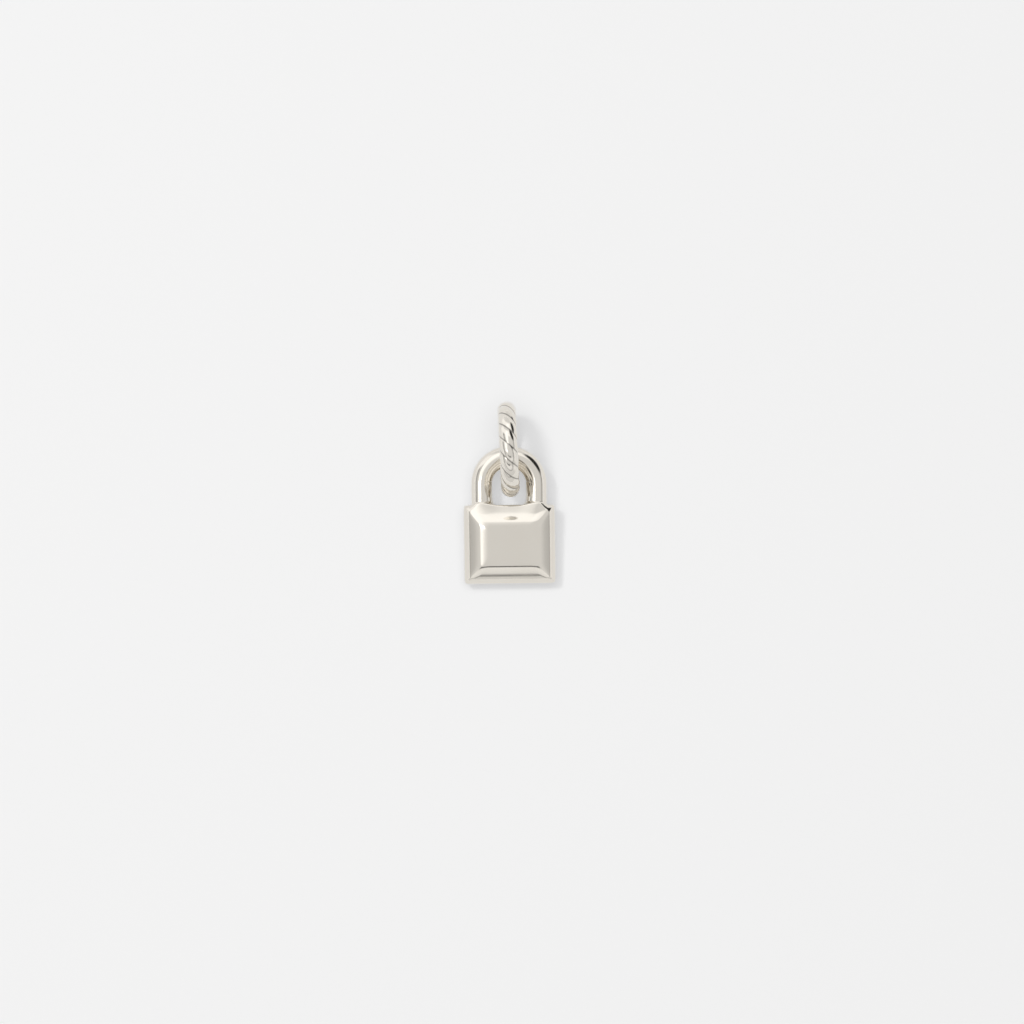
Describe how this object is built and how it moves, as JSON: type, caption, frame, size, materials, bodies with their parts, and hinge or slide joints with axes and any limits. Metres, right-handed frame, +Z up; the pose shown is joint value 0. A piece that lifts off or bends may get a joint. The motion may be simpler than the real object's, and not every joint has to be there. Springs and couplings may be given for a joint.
{
  "type": "padlock charm",
  "caption": "Polished silver charm shaped like a small padlock, with a cushion body and a round arched shackle, on a twisted ring that hangs it from a chain.",
  "frame": {"origin": "on the surface the charm lies on, under the middle of its bounding box", "axes": "+Z up from the surface, +Y from the body to the ring, +X to the right of the body seen from above with the ring at the top"},
  "size_m": [0.0126, 0.0246, 0.013],
  "materials": {
    "polished_silver": "polished",
    "twisted_silver": "polished"
  },
  "bodies": {
    "root": {"padlock": "polished_silver", "bail_ring": "twisted_silver"}
  },
  "joints": []
}
